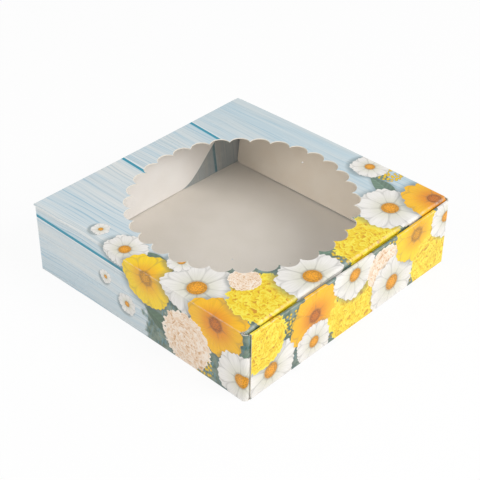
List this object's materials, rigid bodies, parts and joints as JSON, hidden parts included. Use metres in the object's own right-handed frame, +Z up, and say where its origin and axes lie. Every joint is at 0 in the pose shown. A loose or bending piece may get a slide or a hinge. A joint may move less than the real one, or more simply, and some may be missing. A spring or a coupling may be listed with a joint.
{
  "type": "cookie box",
  "caption": "Flat square folding carton for cookies: a tray with rolled double side walls and a hinged tuck-in lid with a round scalloped film window.",
  "frame": {"origin": "middle of the bottom panel's underside, on the surface that the box stands on", "axes": "+Z up; +Y from the hinge wall towards the tuck wall, where the lid opens; +X towards the rolled side wall on the right of someone who looks along +Y"},
  "size_m": [0.2, 0.2, 0.0538],
  "materials": {
    "printed_board": "offset printed outside under a clear gloss coat, raw white edges, plain pinkish beige inside",
    "plain_board": "plain matt board inside, printed and coated outside",
    "clear_film": "clear, glossy"
  },
  "bodies": {
    "tray": {"bottom_panel": "plain_board", "hinge_wall": "printed_board", "tuck_wall": "printed_board", "right_outer_wall": "printed_board", "left_outer_wall": "printed_board", "right_roll_strip": "printed_board", "left_roll_strip": "printed_board", "right_inner_wall": "printed_board", "left_inner_wall": "printed_board", "hinge_right_dust_flap": "printed_board", "hinge_left_dust_flap": "printed_board", "tuck_right_dust_flap": "printed_board", "tuck_left_dust_flap": "printed_board"},
    "lid": {"lid_panel": "printed_board", "window_film": "clear_film"},
    "tuck_flap": {"lid_tuck_flap": "printed_board"},
    "right_flap": {"lid_right_flap": "printed_board"},
    "left_flap": {"lid_left_flap": "printed_board"}
  },
  "joints": [
    {"name": "lid_hinge", "type": "hinge", "parent": "tray", "child": "lid", "pos_m": [0, -0.1, 0.0538], "axis": [1, 0, 0], "range_deg": [0, 195]},
    {"name": "tuck_fold", "type": "hinge", "parent": "lid", "child": "tuck_flap", "pos_m": [0, 0.0981, 0.053], "axis": [-1, 0, 0], "range_deg": [0, 60]},
    {"name": "right_fold", "type": "hinge", "parent": "lid", "child": "right_flap", "pos_m": [0.0963, 0, 0.053], "axis": [0, 1, 0], "range_deg": [0, 85]},
    {"name": "left_fold", "type": "hinge", "parent": "lid", "child": "left_flap", "pos_m": [-0.0963, 0, 0.053], "axis": [0, -1, 0], "range_deg": [0, 85]}
  ]
}
